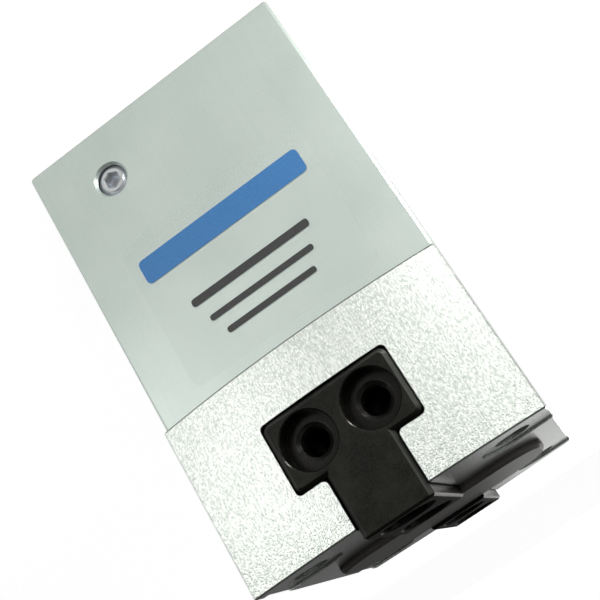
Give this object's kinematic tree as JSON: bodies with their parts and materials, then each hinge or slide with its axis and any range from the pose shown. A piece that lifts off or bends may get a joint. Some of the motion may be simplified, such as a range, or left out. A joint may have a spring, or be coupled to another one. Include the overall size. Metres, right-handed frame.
{
  "type": "parallel pneumatic gripper",
  "caption": "Compact parallel gripper with T-slot jaws that a wedge on a piston rod spreads and a spring closes, in a two-part aluminium housing.",
  "frame": {"origin": "middle of the flat base", "axes": "+Z from the base to the gripping side, X along the jaws' travel, the plugged port and the label on the +X side"},
  "size_m": [0.0402, 0.028, 0.0463],
  "materials": {
    "satin_anodised": "satin, clear anodised with a faint green-grey tint",
    "blasted_anodised": "fine bead blasted, clear anodised",
    "dark_steel": "ground, hardened and black oxidised",
    "hardened_steel": "ground",
    "ground_steel": "ground",
    "turned_aluminium": "turned",
    "seal_rubber": "matt",
    "bearing_plastic": "matt",
    "magnet_compound": "matt",
    "zinc_steel": "zinc plated",
    "bearing_bronze": "sintered bronze",
    "spring_steel": "oiled spring steel",
    "cover_metal": "matt, grey-brown",
    "label_film": "clear film, blank apart from plain bars"
  },
  "bodies": {
    "housing": {"cylinder_housing": "satin_anodised", "guide_housing": "blasted_anodised", "rod_seal": "seal_rubber", "rod_bush": "bearing_bronze", "end_cap": "turned_aluminium", "end_cap_seal": "seal_rubber", "end_cap_retaining_ring": "spring_steel", "closing_spring": "spring_steel", "cover_plate": "cover_metal", "housing_screws": "zinc_steel", "locating_pins": "ground_steel", "side_port_plug": "zinc_steel", "side_label": "label_film"},
    "piston_group": {"piston": "turned_aluminium", "piston_rod": "ground_steel", "wedge_driver": "hardened_steel", "magnet_clamp_disc": "turned_aluminium", "piston_seal": "seal_rubber", "piston_guide_ring": "bearing_plastic", "piston_magnet": "magnet_compound", "piston_cushion": "seal_rubber", "piston_screw": "zinc_steel"},
    "jaw_right": {"gripper_jaw_right": "dark_steel"},
    "jaw_left": {"gripper_jaw_left": "dark_steel"}
  },
  "joints": [
    {"name": "piston_slide", "type": "slide", "parent": "housing", "child": "piston_group", "axis": [0, 0, -1], "range_m": [0, 0.006], "stiffness_N_per_m": 1200, "springref_m": -0.008, "deforming": ["closing_spring"]},
    {"name": "jaw_right_slide", "type": "slide", "parent": "housing", "child": "jaw_right", "axis": [1, 0, 0], "range_m": [0, 0.004]},
    {"name": "jaw_left_slide", "type": "slide", "parent": "housing", "child": "jaw_left", "axis": [-1, 0, 0], "range_m": [0, 0.004]}
  ],
  "couplings": [
    {"joint": "jaw_right_slide", "follows": "piston_slide", "ratio": 0.66666},
    {"joint": "jaw_left_slide", "follows": "piston_slide", "ratio": 0.66666}
  ]
}
